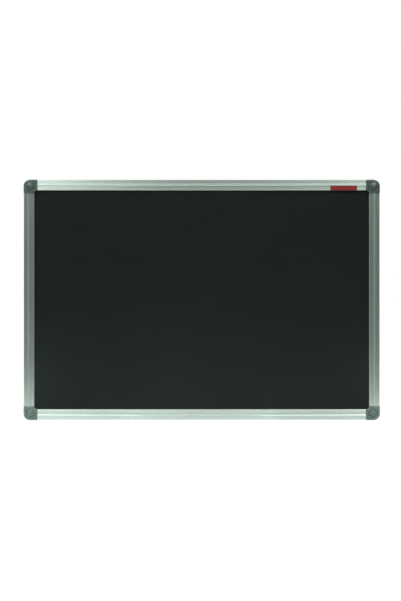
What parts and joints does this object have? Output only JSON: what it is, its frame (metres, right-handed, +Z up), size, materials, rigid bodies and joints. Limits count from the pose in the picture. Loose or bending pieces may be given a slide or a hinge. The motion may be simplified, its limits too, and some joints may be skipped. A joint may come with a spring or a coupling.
{
  "type": "chalkboard",
  "caption": "Wall chalkboard: black steel chalk sheet on a core board, in aluminium rails with grey plastic corners whose round caps pull off the wall-screw holes.",
  "frame": {"origin": "centre of the wall plane, in line with the rear faces of the rails and corner mouldings", "axes": "+X to the right as the board is read, +Z up, and the chalk face looks along -Y; +Y points into the wall"},
  "size_m": [0.9016, 0.0228, 0.6086],
  "materials": {
    "chalk": "matte black lacquer on steel",
    "core": "raw fibreboard",
    "galvanised": "hot-dip zinc, faint spangle",
    "aluminium": "satin anodised, extrusion lines",
    "grey_plastic": "satin moulded grey",
    "screw_steel": "zinc plated",
    "badge_red": "gloss red, bare"
  },
  "bodies": {
    "board": {"chalk_sheet": "chalk", "core_board": "core", "back_sheet": "galvanised", "rail_top": "aluminium", "rail_right": "aluminium", "rail_bottom": "aluminium", "rail_left": "aluminium", "corner_top_left": "grey_plastic", "corner_top_right": "grey_plastic", "corner_bottom_right": "grey_plastic", "corner_bottom_left": "grey_plastic", "frame_screw_top_left_a": "screw_steel", "frame_screw_top_left_b": "screw_steel", "frame_screw_top_right_a": "screw_steel", "frame_screw_top_right_b": "screw_steel", "frame_screw_bottom_right_a": "screw_steel", "frame_screw_bottom_right_b": "screw_steel", "frame_screw_bottom_left_a": "screw_steel", "frame_screw_bottom_left_b": "screw_steel"},
    "top_left_cover": {"cap_top_left": "grey_plastic"},
    "top_right_cover": {"cap_top_right": "grey_plastic"},
    "bottom_right_cover": {"cap_bottom_right": "grey_plastic"},
    "bottom_left_cover": {"cap_bottom_left": "grey_plastic"}
  },
  "joints": [
    {"name": "top_left_cap_pull", "type": "slide", "parent": "board", "child": "top_left_cover", "axis": [0, -1, 0], "range_m": [0, 0.02]},
    {"name": "top_right_cap_pull", "type": "slide", "parent": "board", "child": "top_right_cover", "axis": [0, -1, 0], "range_m": [0, 0.02]},
    {"name": "bottom_right_cap_pull", "type": "slide", "parent": "board", "child": "bottom_right_cover", "axis": [0, -1, 0], "range_m": [0, 0.02]},
    {"name": "bottom_left_cap_pull", "type": "slide", "parent": "board", "child": "bottom_left_cover", "axis": [0, -1, 0], "range_m": [0, 0.02]}
  ]
}
